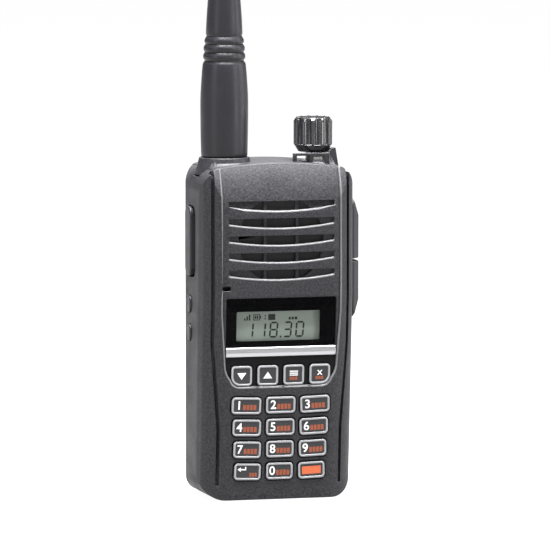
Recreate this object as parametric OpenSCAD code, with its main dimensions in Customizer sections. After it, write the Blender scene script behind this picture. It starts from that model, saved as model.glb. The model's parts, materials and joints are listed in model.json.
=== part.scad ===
// Handheld aviation radio, standing on its base.
// Frame: +Z up, the front faces -Y, +X is to the viewer's right. The origin is in the middle of the base.

/* [Body] */
// Width of the body, without the button and cover that stand out of its sides
body_w = 52.2; // [50:0.2:63]
// Depth of the body
body_d = 34.7; // [34:0.1:38]
// Height of the body, up to the top edge of the front panel
body_h = 111.2; // [110:0.2:135]
// Wall thickness of the mouldings
wall = 1.8; // [1.5:0.1:2.2]
// Thickness of the front wall, with the panel recess in it
front_wall = 2.6; // [2.4:0.1:3.2]
// Radius of the body's front upright edges
front_r = 9.5; // [8:0.5:10]
// Radius of the body's rear upright edges
rear_r = 9; // [7:0.5:10]
// Radius of the bottom corners, seen from the front
corner_r = 8; // [6:0.5:9]
// Radius of the shoulders, seen from the front
shoulder_r = 10; // [8:0.5:11]
// Radius of the crowned top, seen from the front
crown_r = 150; // [120:10:300]
// Height at which the front face starts to lean back towards the base
knee_z = 68; // [66:1:72]
// How far the front face has leaned back at the base
base_lean = 5.1; // [4:0.1:5.5]
// Height of the sloping strip along the top of the front face
crown_h = 16.2; // [12:0.2:17]
// How far that strip slopes back
crown_lean = 4.9; // [4:0.1:5.5]

/* [Panel and grille] */
// Gap from the side of the body to the edge of the panel recess
panel_inset = 6.2; // [5.5:0.1:7]
// Depth of the panel recess
panel_depth = 0.9; // [0.6:0.1:1]
// Radius of the panel recess's lower corners
panel_r = 7; // [4:0.5:8]
// Width of the groove beside the panel
groove_w = 1; // [0.6:0.1:1.4]
// Depth of the groove beside the panel
groove_depth = 0.9; // [0.5:0.1:1]
// Number of grille slots
slot_count = 5; // [3:1:5]
// Distance from one slot to the next
slot_pitch = 5.65; // [5:0.05:6]
// Height of a slot in its middle
slot_h = 3.1; // [2:0.1:3.4]
// Height of a slot at its ends
slot_end_h = 1.6; // [1:0.1:2]
// Diameter of the opening behind the slots
grille_d = 28.8; // [26:0.2:30]

/* [Display] */
// Width of the display window
window_w = 37.2; // [34:0.2:37.4]
// Height of the display window
window_h = 16.2; // [14:0.2:16.4]
// Width of the part of the display that can be seen
view_w = 28.3; // [24:0.1:29]
// Height of the part of the display that can be seen
view_h = 9.8; // [8:0.1:10]
// Height of the bright strip below the window
ledge_h = 3.2; // [2:0.1:3.4]

/* [Keys] */
// Width of a function key
fn_key_w = 7; // [5:0.1:7.2]
// Height of a function key
fn_key_h = 6.6; // [5:0.1:6.8]
// Width of a number key in the top row
num_key_w = 10; // [8:0.1:10.4]
// How much narrower the keys of each next row are
num_key_taper = 0.33; // [0:0.01:0.5]
// Height of a number key
num_key_h = 5.5; // [4.5:0.1:5.8]
// Distance from one row of number keys to the next
num_pitch_z = 7.38; // [7:0.01:7.6]
// Distance between the columns in the top row
num_pitch_x = 11.66; // [11.2:0.01:12]
// Tilt of the outer columns of number keys, in degrees
num_tilt = 2; // [0:0.5:3]
// Width of the shallow well around a number key
well_w = 0.5; // [0.4:0.05:0.8]
// Clear gap around a key
key_gap = 0.25; // [0.15:0.01:0.35]
// How far a key goes in
key_travel = 0.6; // [0.4:0.1:0.7]

/* [Side controls] */
// Height of the press-to-talk button
ptt_h = 23; // [20:0.5:28]
// Width of the press-to-talk button, front to back
ptt_w = 7; // [5:0.1:7.4]
// How far the press-to-talk button goes in
ptt_travel = 1; // [0.6:0.1:1.1]
// Height of a small side key
side_key_h = 5.4; // [4:0.1:6]
// Width of a small side key, front to back
side_key_w = 4.4; // [3:0.1:5]
// Height of the cover over the sockets
cover_h = 40; // [39:0.5:48]
// Radius of the larger jack's bore, for a 3.5 mm plug
jack_r = 1.85; // [1.8:0.01:1.95]
// Radius of the smaller jack's bore, for a 2.5 mm plug
mic_jack_r = 1.35; // [1.3:0.01:1.4]
// Distance between the two jacks
jack_pitch = 10; // [9:0.5:11]

/* [Knob and antenna] */
// Distance from the middle of the body to the knob's axis
knob_x = 15.3; // [14:0.1:16]
// Diameter of the volume knob
knob_d = 12.8; // [11.5:0.1:13.4]
// Height of the fluted part of the knob
knob_h = 9; // [8:0.5:12]
// Number of flutes around the knob
flute_count = 12; // [8:1:14]
// Diameter of the control shaft
shaft_d = 5; // [4.6:0.1:6.2]
// Distance from the middle of the body to the antenna's axis
antenna_x = 15; // [14:0.1:15.5]
// Diameter of the antenna's base sleeve at its widest
antenna_d = 15.8; // [14.6:0.1:19]
// Height of the antenna above its collar
antenna_h = 192; // [150:1:260]

/* [Battery] */
// Height of the battery pack
pack_h = 98.3; // [98:0.1:99]
// Distance between the belt clip holes
clip_pitch = 26; // [24:0.5:30]
// Radius of the belt clip holes, tapped for M3
clip_hole_r = 1.25; // [1.2:0.05:1.4]
// How far the latch slides
latch_travel = 2; // [1.5:0.1:2.2]

/* [Hidden] */
$fn = 64;
eps = 0.02;
fit = 0.1;
far = 200;

half_w = body_w / 2;
front_y = -body_d / 2;
back_y = body_d / 2;
lean = atan(base_lean / knee_z);
crown_z = body_h - crown_h;
crown_start_a = 4;
crown_arc_r = norm([crown_h, crown_lean]) / (2 * sin(atan(crown_lean / crown_h) - crown_start_a));
chamfer = 1.2;

// Depth stations, from the front wall to the back of the pack
case_back = front_y + 26.55;
flange_d = 1.4;
flange_y = case_back + fit;
seal_t = 1.1;
pack_y = flange_y + flange_d + fit;
tub_half = half_w - 6.3;
tub_front = front_y + 20.25;
tub_wall = 1.4;
tub_low = wall + 1.4;
tub_inner = tub_half - 1.2;
box_half = tub_inner - 0.2;
box_y = tub_front + tub_wall + 0.2;
board_t = 1.2;
board_y = tub_front - 0.6 - board_t;

// Top stations
cover_seat_z = body_h - 2.8;
ledge_z = cover_seat_z - 1.5;
cover_half = half_w - 4.1;
cover_front = front_y + 6.85;
cover_back = back_y - wall;
rim = 1.5;
shelf_z = pack_h + fit;
axis_y = 1;

// Panel, groove and grille
panel_half = half_w - panel_inset;
panel_low_z = 38;
panel_narrow = 1.2;
groove_top_x = half_w - 3.2;
groove_low_x = half_w - 5.3;
groove_bend_z = 52;
groove_low_z = 24;
groove_end_z = 5;
slot_half = panel_half - 2;
slot_top_z = body_h - 12.2;
slot_depth = 1;
slot_rib_x = 5.4;
slot_rib_w = 1.1;
speaker_z = slot_top_z - (slot_count - 1) / 2 * slot_pitch - slot_h / 2;
speaker_d = grille_d + 3.2;
speaker_h = 6.5;
mic_x = -(panel_half - 1.2);
mic_z = knee_z + 2.5;

// Face frame: x as in the row, y inwards from the leaning face, z along the face from the knee
window_top = -1;
window_low = window_top - window_h;
lens_t = 1;
mask_t = 0.15;
seat_t = 1.5;
lens_y = panel_depth + 0.02;
mask_y = lens_y + lens_t;
seat_y = mask_y + mask_t;
view_x = -0.8;
view_z = window_low + 1.9 + view_h / 2;
lcd_w = view_w + 5;
lcd_h = view_h + 3.6;
lcd_t = 1.8;
lcd_y = seat_y + seat_t;
tray_w = lcd_w + 2.4;
tray_h = lcd_h + 2.4;
tray_back = lcd_y + lcd_t + 2 + 0.7;
ledge_top = window_low - 0.05;
ledge_low = ledge_top - ledge_h;
ledge_half = panel_half - panel_narrow;
fn_z = -26.6;
fn_margin = 3.1;
fn_pitch = (2 * panel_half - 2 * fn_margin - fn_key_w) / 3;
num_z = -36.5;
key_face = -0.35;
fn_face = 0.35;
flange_in = front_wall + 0.15;
flange_t = 0.8;
key_lip = 0.7;
key_corner_r = 1.2;
fn_corner_r = 3;
well_depth = 0.3;
dome_t = 0.5;
key_board_y = 8.1;
stem_end = key_board_y - dome_t - key_travel - 0.1;
sheet_y = 4.4;
sheet_t = 1;
sheet_w = 2 * (panel_half - 1.5);
key_board_half = 19;
key_board_low = -63;

// Side stations
ptt_z = body_h - 26.3;
ptt_y = front_y + 21.15;
ptt_proud = 0.8;
side_key_z = [knee_z - 4, knee_z - 13.4];
side_y = ptt_y;
side_key_proud = 0.6;
side_travel = 0.5;
lip = 0.8;
lip_t = 0.9;
side_board_x = -(half_w - 5.3);
scoop_w = 4;
scoop_depth = 1;

cover_z = body_h - 32.2;
cover_w = 15;
cover_y = front_y + 16.6;
cover_t = 3.1;
hinge_z = cover_z - 0.7;
hinge_x = half_w + cover_t;
hinge_gap = 0.45;
jack_z = hinge_z + 6;
jack_y = front_y + 14.1;
plug_hole_r = 3.3;
jack_block_len = 13;
jack_block_x = half_w - wall - 0.1 - jack_block_len;

// Knob and antenna
knob_skirt_z = body_h + 5.1;
knob_low_z = body_h + 2.7;
knob_top_z = knob_skirt_z + knob_h;
collar_z = body_h + 1.4;
collar_low_z = body_h - 4.8;
collar_r = antenna_d / 2 + 0.4;
collar_low_r = collar_r + 1.6;
bush_r = shaft_d / 2 + 0.8;
nut_z = body_h - 1.3;
socket_r = 4.8;
socket_h = 9.9;
antenna_z = collar_z + 0.15;
plug_h = 13;
stud_r = 0.9;
stud_z = collar_z + socket_h - 2.4;
core_r = 1.2;

// Battery
shell = 1.6;
cell_gap = 0.3;
cell_h = 73;
cell_z = 6.2;
latch_z = 88;
latch_half = 8;
tongue_half = 4;
latch_y = back_y - 3.85;
latch_t = 2;
tongue_h = 1.5;
clip_z = 84;
clip_depth = 4;
pocket_depth = 0.8;
spring_r = 1.3;
spring_low = 82;
spring_turns = 6;
screw_z = [7.5, 40];
screw_x = half_w - 4.5;
boss_half = 1.7;
boss_front = case_back - 6.6;
screw_r = 0.9;

fn_names = ["key_down", "key_up", "key_recall", "key_clear"];
num_names = [
    ["key_1", "key_2", "key_3"],
    ["key_4", "key_5", "key_6"],
    ["key_7", "key_8", "key_9"],
    ["key_enter", "key_0", "key_function"]
];

// ---------- shared shapes ----------

// Plan of the body: a box with rounded front and rear corners
module plan(hw, y0, y1, rf, rr) {
    translate([-hw, y0 + rf])
        square([2 * hw, y1 - rr - y0 - rf]);
    translate([-(hw - rf), y0])
        square([2 * (hw - rf), rf + eps]);
    translate([-(hw - rr), y1 - rr - eps])
        square([2 * (hw - rr), rr + eps]);
    for (s = [-1, 1]) {
        translate([s * (hw - rf), y0 + rf])
            circle(rf);
        translate([s * (hw - rr), y1 - rr])
            circle(rr);
    }
}

// A rectangle with round corners, centred in x and y
module round_rect(w, h, r) {
    square([w, h - 2 * r], center = true);
    square([w - 2 * r, h], center = true);
    for (sx = [-1, 1], sy = [-1, 1])
        translate([sx * (w / 2 - r), sy * (h / 2 - r)])
            circle(r);
}

// Stands a drawing of x and z up and makes it y0 to y1 deep
module upright(y0, y1) {
    translate([0, y1, 0])
        rotate([90, 0, 0])
            linear_extrude(y1 - y0)
                children();
}

// Makes a drawing of y and z solid from x0 to x1
module sideways(x0, x1) {
    translate([x0, 0, 0])
        rotate([90, 0, 90])
            linear_extrude(x1 - x0)
                children();
}

// The body's outer shape, taken in by a wall and, at the front, by a front wall
module body_solid(inset = 0, front = 0) {
    hw = half_w - inset;
    y0 = front_y + front;
    y1 = back_y - inset;
    rf = max(front_r - inset, 1);
    rr = max(rear_r - inset, 1);
    rc = max(corner_r - inset, 1);
    top = body_h - inset;
    difference() {
        intersection() {
            linear_extrude(body_h)
                plan(hw, y0, y1, rf, rr);
            translate([0, y0, knee_z])
                rotate([lean, 0, 0])
                    translate([0, -y0, -far / 2])
                        linear_extrude(far)
                            plan(hw, y0, far / 4, rf, 1);
            upright(-far / 4, far / 4)
                intersection() {
                    translate([0, (top + inset) / 2])
                        round_rect(2 * hw, top - inset, rc);
                    translate([0, top / 2 - corner_r])
                        round_rect(2 * hw, top + 2 * corner_r, max(shoulder_r - inset, 1));
                    translate([0, top - crown_r])
                        circle(crown_r, $fn = 200);
                }
        }
        crown_cut(y0);
        translate([0, y0 + base_lean + chamfer, inset])
            rotate([45, 0, 0])
                translate([-far / 4, -far / 4, -far / 4])
                    cube([far / 2, far / 4 - chamfer * 0.7, far / 4]);
    }
}

// What the curved strip along the top takes off the front
module crown_cut(y0) {
    y = y0 + crown_arc_r * cos(crown_start_a);
    z = crown_z - crown_arc_r * sin(crown_start_a);
    difference() {
        block([-far / 4, y0 - far / 4, crown_z], [far / 4, y, crown_z + far / 4]);
        translate([-far / 4 - 1, y, z])
            rotate([0, 90, 0])
                cylinder(r = crown_arc_r, h = far / 2 + 2, $fn = 180);
    }
}

// Puts things in the frame of the leaning face
module on_face() {
    translate([0, front_y, knee_z])
        rotate([lean, 0, 0])
            children();
}

// A plate with round corners in the face frame, from depth y0 to y1
module face_plate(w, h, r, y0, y1, x = 0, z = 0) {
    translate([x, y1, z])
        rotate([90, 0, 0])
            linear_extrude(y1 - y0)
                round_rect(w, h, r);
}

// A plate with round corners on a side wall, from x0 to x1
module side_plate(w, h, r, x0, x1, y, z) {
    translate([x0, y, z])
        rotate([90, 0, 90])
            linear_extrude(x1 - x0)
                round_rect(w, h, r);
}

module panel_outline() {
    hw = panel_half - panel_narrow;
    polygon([
        [-hw, panel_low_z + panel_r], [-panel_half, knee_z - 6], [-panel_half, far],
        [panel_half, far], [panel_half, knee_z - 6], [hw, panel_low_z + panel_r]
    ]);
    translate([-(hw - panel_r), panel_low_z])
        square([2 * (hw - panel_r), panel_r + eps]);
    for (s = [-1, 1])
        translate([s * (hw - panel_r), panel_low_z + panel_r])
            circle(panel_r);
}

module groove_outline() {
    g = groove_w / 2;
    for (s = [-1, 1])
        scale([s, 1])
            polygon([
                [groove_low_x - g, groove_end_z], [groove_low_x + g, groove_end_z],
                [groove_low_x + g, groove_low_z], [groove_top_x + g, groove_bend_z],
                [groove_top_x + g, body_h + 5], [groove_top_x - g, body_h + 5],
                [groove_top_x - g, groove_bend_z], [groove_low_x - g, groove_low_z]
            ]);
}

// Places a child at each grille slot's upper edge
module each_slot() {
    for (i = [0 : slot_count - 1])
        translate([0, slot_top_z - i * slot_pitch])
            children();
}

// One slot: straight above, curved below
module slot_outline(grow = 0) {
    sag = slot_h - slot_end_h;
    arc_r = (slot_half * slot_half + sag * sag) / (2 * sag);
    intersection() {
        translate([-slot_half - grow, -slot_h - grow])
            square([2 * (slot_half + grow), slot_h + 2 * grow]);
        translate([0, arc_r - slot_h])
            circle(arc_r + grow, $fn = 160);
    }
}

function fn_x(i) = (i - 1.5) * fn_pitch;
function num_w(row) = num_key_w - row * num_key_taper;
function num_x(row, col) = (col - 1) * (num_pitch_x - row * 0.25);
function num_row_z(row) = num_z - row * num_pitch_z;

// Outline of a key, grown by a gap; outer is the side of its large lower corner, or 0 for none
module key_outline(w, h, grow = 0, outer = 0) {
    r = key_corner_r + grow;
    difference() {
        round_rect(w + 2 * grow, h + 2 * grow, r);
        if (outer != 0)
            translate([outer * (w / 2 - fn_corner_r), fn_corner_r - h / 2])
                difference() {
                    translate([min(outer * 2 * fn_corner_r, 0), -2 * fn_corner_r])
                        square(2 * fn_corner_r);
                    circle(fn_corner_r + grow);
                }
    }
}

// A key's outline made solid from depth y0 to y1
module key_plate(w, h, y0, y1, grow = 0, outer = 0) {
    translate([0, y1, 0])
        rotate([90, 0, 0])
            linear_extrude(y1 - y0)
                key_outline(w, h, grow, outer);
}

// The opening in the front wall for a key
module key_opening(w, h, outer = 0) {
    key_plate(w, h, -3, front_wall + 3, key_gap, outer);
}

// A key: its cap in the opening, a lip behind the wall and a stem down to its dome
module key_cap(w, h, top, outer = 0) {
    key_plate(w, h, top, flange_in + eps, 0, outer);
    face_plate(w + 2 * key_lip, h + 2 * key_lip, 1.2, flange_in, flange_in + flange_t);
    face_plate(3, 2.4, 0.6, flange_in, stem_end);
}

// The side of the row on which a function key has its large corner
function fn_outer(i) = i == 0 ? -1 : i == 3 ? 1 : 0;

module fn_key(i) {
    on_face()
        at_fn(i)
            key_cap(fn_key_w, fn_key_h, fn_face, fn_outer(i));
}

module num_key(row, col) {
    on_face()
        at_num(row, col)
            key_cap(num_w(row), num_key_h, key_face);
}

module at_fn(i) {
    translate([fn_x(i), 0, fn_z])
        children();
}

// The outer columns tilt towards the middle
module at_num(row, col) {
    translate([num_x(row, col), 0, num_row_z(row)])
        rotate([0, (1 - col) * num_tilt, 0])
            children();
}

// Places a child at each key's middle, in the face frame
module each_key() {
    for (i = [0 : 3])
        at_fn(i)
            children();
    for (row = [0 : 3], col = [0 : 2])
        at_num(row, col)
            children();
}

// An upright cylinder from z0 to z1
module post(x, y, r, z0, z1) {
    translate([x, y, z0])
        cylinder(r = r, h = z1 - z0);
}

// A cylinder along y
module rod_y(x, z, r, y0, y1) {
    translate([x, y1, z])
        rotate([90, 0, 0])
            cylinder(r = r, h = y1 - y0);
}

// A cylinder along x
module rod_x(y, z, r, x0, x1) {
    translate([x0, y, z])
        rotate([0, 90, 0])
            cylinder(r = r, h = x1 - x0);
}

// A box from its lowest to its highest corner
module block(a, b) {
    translate(a)
        cube(b - a);
}

// ---------- top features, which the front case makes room for ----------

module collar_cone(grow = 0) {
    translate([-antenna_x, axis_y, collar_low_z])
        cylinder(r1 = collar_low_r + grow, r2 = collar_r + grow, h = collar_z - collar_low_z);
}

module guard_wall(grow = 0) {
    low_x = half_w - 3.5;
    top_x = half_w - 4.6;
    upright(axis_y - 6 - grow, axis_y + 7 + grow)
        polygon([
            [knob_x + 3, body_h - 2.6 - grow], [low_x + grow, body_h - 2.6 - grow],
            [top_x + grow, body_h + 4.2], [knob_x + 5, body_h + 4.2], [knob_x + 3, body_h + 2]
        ]);
}

// The room that the top cover takes out of the shells
module cover_pocket() {
    block([-cover_half - fit, cover_front - fit, cover_seat_z], [cover_half + fit, cover_back + fit, far]);
    block([-cover_half + rim, cover_front + rim, ledge_z - 2], [cover_half - rim, cover_back - rim, far]);
    collar_cone(fit);
    guard_wall(fit);
}

// ---------- casework ----------

module front_case() {
    color([0.22, 0.22, 0.24])
        difference() {
            union() {
                difference() {
                    intersection() {
                        body_solid();
                        block([-far, -far, -1], [far, case_back, far]);
                    }
                    intersection() {
                        body_solid(wall, front_wall);
                        block([-far, -far, 0], [far, far, ledge_z]);
                    }
                }
                case_bosses();
            }
            difference() {
                upright(-far / 4, front_y + 8)
                    panel_outline();
                body_solid(0, panel_depth);
            }
            difference() {
                upright(-far / 4, front_y + 8)
                    groove_outline();
                body_solid(groove_depth, groove_depth);
            }
            difference() {
                upright(-far / 4, front_y + 8)
                    each_slot()
                        slot_outline();
                body_solid(0, panel_depth + slot_depth);
            }
            grille_openings();
            rod_y(0, speaker_z, speaker_d / 2 + fit, front_y + front_wall, front_y + front_wall + speaker_h);
            mic_hole();
            on_face()
                face_openings();
            side_openings();
            cover_pocket();
        }
}

module case_bosses() {
    for (s = [-1, 1], z = screw_z)
        difference() {
            x0 = s * (screw_x - boss_half);
            x1 = s * (half_w - wall / 2);
            block(
                [min(x0, x1), boss_front, z - boss_half],
                [max(x0, x1), flange_y - seal_t - 0.2, z + boss_half]
            );
            rod_y(s * screw_x, z, screw_r, boss_front + 0.6, case_back + 1);
        }
    on_face()
        face_plate(window_w + 1, window_h + 2, 1, front_wall - eps, lcd_y, 0, window_top - window_h / 2);
}

// The round opening behind the slots, with two ribs left standing across it
module grille_openings() {
    intersection() {
        upright(-far / 4, front_y + 8)
            each_slot()
                slot_outline();
        rod_y(0, speaker_z, grille_d / 2, -far / 4, front_y + 8);
        union() {
            block([-slot_rib_x + slot_rib_w / 2, -far, 0], [slot_rib_x - slot_rib_w / 2, 0, far]);
            for (s = [-1, 1])
                scale([s, 1, 1])
                    block([slot_rib_x + slot_rib_w / 2, -far, 0], [far, 0, far]);
        }
    }
}

module mic_hole() {
    upright(-far / 4, front_y + 5)
        translate([mic_x, mic_z])
            round_rect(2.9, 1.5, 0.7);
}

// Window, ledge strip and key openings, in the face frame
module face_openings() {
    mid = window_top - window_h / 2;
    face_plate(window_w + 2 * fit, window_h + 2 * fit, 1, -3, lens_y + lens_t + mask_t, 0, mid);
    face_plate(view_w + 1, view_h + 1, 0.8, 0, lcd_y + 1, view_x, view_z);
    translate([-ledge_half, -1, ledge_low])
        cube([2 * ledge_half, 1 + panel_depth + 0.5, ledge_h]);
    for (i = [0 : 3])
        at_fn(i)
            key_opening(fn_key_w, fn_key_h, fn_outer(i));
    for (row = [0 : 3], col = [0 : 2])
        at_num(row, col) {
            key_opening(num_w(row), num_key_h);
            key_plate(num_w(row), num_key_h, -3, well_depth, well_w);
        }
}

module side_openings() {
    side_plate(ptt_w + 0.6, ptt_h + 0.6, 3, -far / 4, -half_w + 5, ptt_y, ptt_z);
    translate([0, -scoop_w / 2, 0])
        side_plate(ptt_w + scoop_w, ptt_h + 0.6, 3.6, -far / 4, -half_w + scoop_depth, ptt_y, ptt_z);
    for (z = side_key_z)
        side_plate(side_key_w + 0.5, side_key_h + 0.5, 2.2, -far / 4, -half_w + 5, side_y, z);
    for (i = [0, 1])
        rod_x(jack_y, jack_z + i * jack_pitch, plug_hole_r, half_w - 5, far / 4);
    rod_x(cover_y, cover_screw_z(), 1, half_w - 5, far / 4);
}

module top_cover() {
    color([0.2, 0.2, 0.22])
        difference() {
            union() {
                intersection() {
                    body_solid();
                    block([-cover_half, cover_front, cover_seat_z], [cover_half, cover_back, far]);
                }
                collar_cone();
                guard_wall();
                guard_block();
            }
            post(knob_x, axis_y, bush_r + 0.05, 0, far);
            post(knob_x, axis_y, bush_r + 1.3, nut_z, knob_low_z);
            post(-antenna_x, axis_y, socket_r, cover_seat_z, far);
            post(-antenna_x, axis_y, 5.9, 0, body_h - 1);
            knob_room();
            lens_pocket();
            difference() {
                collar_cone(1);
                block([-far, -far, ledge_z + 0.1], [far, far, far]);
            }
        }
}

// The low block in front of the knob and the thin bar beside it, with a gap under the bar
module guard_block() {
    block([knob_x - 3, axis_y - 6.6, body_h - 1.6], [knob_x + 4, axis_y - 3.6, body_h + 2]);
    block([knob_x - 8.4, axis_y - 6.6, body_h + 1.7], [knob_x + 4, axis_y - 5.2, body_h + 2.6]);
    block([knob_x - 8.4, axis_y - 6.6, body_h - 1.6], [knob_x - 7.2, axis_y - 5.2, body_h + 2.6]);
}

// Clear room around the knob and its underside
module knob_room() {
    gap = 0.5;
    translate([knob_x, axis_y, knob_low_z - gap]) {
        cylinder(r = knob_d / 2 - 1.5 + gap, h = far);
        cylinder(
            r1 = knob_d / 2 - 1.5 + gap,
            r2 = knob_d / 2 + gap,
            h = knob_skirt_z - knob_low_z
        );
        translate([0, 0, knob_skirt_z - knob_low_z])
            cylinder(r = knob_d / 2 + gap, h = far);
    }
}

module lens_pocket() {
    block([knob_x - 1.6, axis_y - 7, body_h + 0.2], [knob_x + 1.6, axis_y - 5.1, body_h + 1.4]);
}

module status_lens() {
    color([0.75, 0.75, 0.72])
        block([knob_x - 1.55, axis_y - 6.5, body_h + 0.25], [knob_x + 1.55, axis_y - 5.15, body_h + 1.35]);
}

module rear_chassis() {
    color([0.3, 0.31, 0.33])
        difference() {
            union() {
                intersection() {
                    body_solid();
                    union() {
                        block([-far, flange_y, -1], [far, flange_y + flange_d, far]);
                        block([-far, flange_y, shelf_z], [far, far, far]);
                    }
                }
                block([-tub_half, tub_front, tub_low], [tub_half, flange_y + eps, shelf_z + shell]);
                locating_rib();
            }
            block([-tub_inner, tub_front + tub_wall, tub_low + 1.2], [tub_inner, far, shelf_z]);
            intersection() {
                body_solid(wall, front_wall);
                block([-far, flange_y - 5, shelf_z + shell], [far, far, ledge_z]);
            }
            block([-tub_inner, tub_front - 1, shelf_z + shell], [tub_inner, flange_y + 1, ledge_z]);
            block(
                [-tongue_half - 0.3, latch_y - 0.1, shelf_z - 1],
                [tongue_half + 0.3, latch_y + 1.7, shelf_z + 5]
            );
            for (s = [-1, 1], z = screw_z) {
                rod_y(s * screw_x, z, screw_r + 0.1, flange_y - 2, far);
                rod_y(s * screw_x, z, 1.7, flange_y + 0.5, far);
            }
            cover_pocket();
        }
}

// The rib that holds the seal against the front case
module locating_rib() {
    h = ledge_z - wall - 0.4;
    translate([0, flange_y + eps, wall + h / 2])
        rotate([90, 0, 0])
            linear_extrude(seal_t + eps)
                difference() {
                    round_rect(2 * (half_w - wall - 1.4), h - 2.4, corner_r - wall - 1.4);
                    round_rect(2 * (half_w - wall - 2.3), h - 4.2, corner_r - wall - 2.3);
                }
}

module main_seal() {
    h = ledge_z - wall - 0.4;
    color([0.06, 0.06, 0.06])
        translate([0, flange_y, wall + h / 2])
            rotate([90, 0, 0])
                linear_extrude(seal_t)
                    difference() {
                        round_rect(2 * (half_w - wall - 0.3), h - 0.2, corner_r - wall - 0.3);
                        round_rect(2 * (half_w - wall - 1.4), h - 2.4, corner_r - wall - 1.4);
                    }
}

module chassis_screws() {
    color([0.7, 0.7, 0.7])
        for (s = [-1, 1], z = screw_z) {
            difference() {
                rod_y(s * screw_x, z, 1.6, flange_y + 0.5, flange_y + flange_d - 0.1);
                translate([s * screw_x - 0.9, flange_y + flange_d - 0.6, z - 0.15])
                    cube([1.8, 1, 0.3]);
            }
            rod_y(s * screw_x, z, screw_r, boss_front + 0.7, flange_y + 0.5 + eps);
        }
}

// ---------- display ----------

module display_window() {
    color([0.05, 0.05, 0.06])
        on_face()
            face_plate(window_w, window_h, 0.9, lens_y, lens_y + lens_t, 0, window_top - window_h / 2);
}

module window_mask() {
    color([0.02, 0.02, 0.02])
        on_face()
            difference() {
                face_plate(window_w, window_h, 0.9, mask_y, mask_y + mask_t, 0, window_top - window_h / 2);
                face_plate(view_w, view_h, 0.4, mask_y - 1, mask_y + 1, view_x, view_z);
            }
}

module ledge_trim() {
    tip = 0.55;
    color([0.75, 0.76, 0.78])
        on_face()
            sideways(-ledge_half + 0.05, ledge_half - 0.05)
                polygon([
                    [panel_depth + 0.45, ledge_low + 0.05], [panel_depth + 0.45, ledge_top - 0.05],
                    [panel_depth - 0.1, ledge_top - 0.05], [panel_depth - tip, ledge_low + 1.4],
                    [panel_depth - tip, ledge_low + 0.9], [panel_depth - 0.1, ledge_low + 0.05]
                ]);
}

module lcd_panel() {
    color([0.55, 0.62, 0.57])
        on_face()
            face_plate(lcd_w, lcd_h, 0.3, lcd_y, lcd_y + lcd_t, view_x, view_z);
}

module light_guide() {
    color([0.9, 0.92, 0.9])
        on_face()
            face_plate(lcd_w, lcd_h, 0.3, lcd_y + lcd_t, lcd_y + lcd_t + 2, view_x, view_z);
}

module lcd_frame() {
    color([0.85, 0.85, 0.82])
        on_face()
            difference() {
                face_plate(tray_w, tray_h, 0.6, lcd_y, tray_back, view_x, view_z);
                face_plate(lcd_w, lcd_h, 0.3, lcd_y - 1, lcd_y + lcd_t + 2, view_x, view_z);
                connector_room(0);
            }
}

module connector_room(grow) {
    strip_z = view_z - lcd_h / 2 + 1.2;
    face_plate(lcd_w - 4 - grow, 1.1 - grow, 0.2, lcd_y + lcd_t + 2, key_board_y, view_x, strip_z);
}

module lcd_connector() {
    color([0.25, 0.25, 0.28])
        on_face()
            connector_room(0.1);
}

// ---------- keys ----------

module key_sheet() {
    low = num_row_z(3) - num_key_h / 2 - 1.2;
    top = fn_z + fn_key_h / 2 + 0.6;
    color([0.12, 0.12, 0.13])
        on_face()
            difference() {
                face_plate(sheet_w, top - low, 1, sheet_y, sheet_y + sheet_t, 0, (top + low) / 2);
                each_key()
                    translate([-1.8, 0, -1.5])
                        cube([3.6, 10, 3]);
            }
}

module key_domes() {
    color([0.8, 0.8, 0.8])
        on_face()
            each_key()
                rotate([90, 0, 0])
                    translate([0, 0, -key_board_y])
                        cylinder(r = 2, h = dome_t);
}

module front_board() {
    color([0.05, 0.3, 0.15])
        on_face()
            translate([-key_board_half, key_board_y, key_board_low])
                cube([2 * key_board_half, 1, -key_board_low - 1]);
}

module key_down() { color([0.15, 0.15, 0.16]) fn_key(0); }
module key_up() { color([0.15, 0.15, 0.16]) fn_key(1); }
module key_recall() { color([0.15, 0.15, 0.16]) fn_key(2); }
module key_clear() { color([0.15, 0.15, 0.16]) fn_key(3); }
module key_1() { color([0.16, 0.16, 0.17]) num_key(0, 0); }
module key_2() { color([0.16, 0.16, 0.17]) num_key(0, 1); }
module key_3() { color([0.16, 0.16, 0.17]) num_key(0, 2); }
module key_4() { color([0.16, 0.16, 0.17]) num_key(1, 0); }
module key_5() { color([0.16, 0.16, 0.17]) num_key(1, 1); }
module key_6() { color([0.16, 0.16, 0.17]) num_key(1, 2); }
module key_7() { color([0.16, 0.16, 0.17]) num_key(2, 0); }
module key_8() { color([0.16, 0.16, 0.17]) num_key(2, 1); }
module key_9() { color([0.16, 0.16, 0.17]) num_key(2, 2); }
module key_enter() { color([0.16, 0.16, 0.17]) num_key(3, 0); }
module key_0() { color([0.16, 0.16, 0.17]) num_key(3, 1); }
module key_function() { color([0.75, 0.33, 0.18]) num_key(3, 2); }

// ---------- side controls ----------

module ptt_button() {
    inner = -half_w + wall + 0.1;
    color([0.17, 0.17, 0.18]) {
        side_plate(ptt_w, ptt_h, 2.8, -half_w - ptt_proud, inner + eps, ptt_y, ptt_z);
        side_plate(ptt_w + lip, ptt_h + 2 * lip, 2.8, inner, inner + lip_t, ptt_y, ptt_z);
    }
}

module side_key(z) {
    inner = -half_w + wall + 0.1;
    color([0.17, 0.17, 0.18]) {
        side_plate(side_key_w, side_key_h, 2, -half_w - side_key_proud, inner + eps, side_y, z);
        side_plate(side_key_w + 2 * lip, side_key_h + 2 * lip, 2, inner, inner + lip_t, side_y, z);
    }
}

module side_key_upper() { side_key(side_key_z[0]); }
module side_key_lower() { side_key(side_key_z[1]); }

module side_board() {
    low = side_key_z[1] - 5;
    top = ptt_z + 11;
    color([0.05, 0.3, 0.15])
        block([side_board_x, ptt_y - 4.5, low], [side_board_x + 0.9, ptt_y + 4.2, top]);
}

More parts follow.
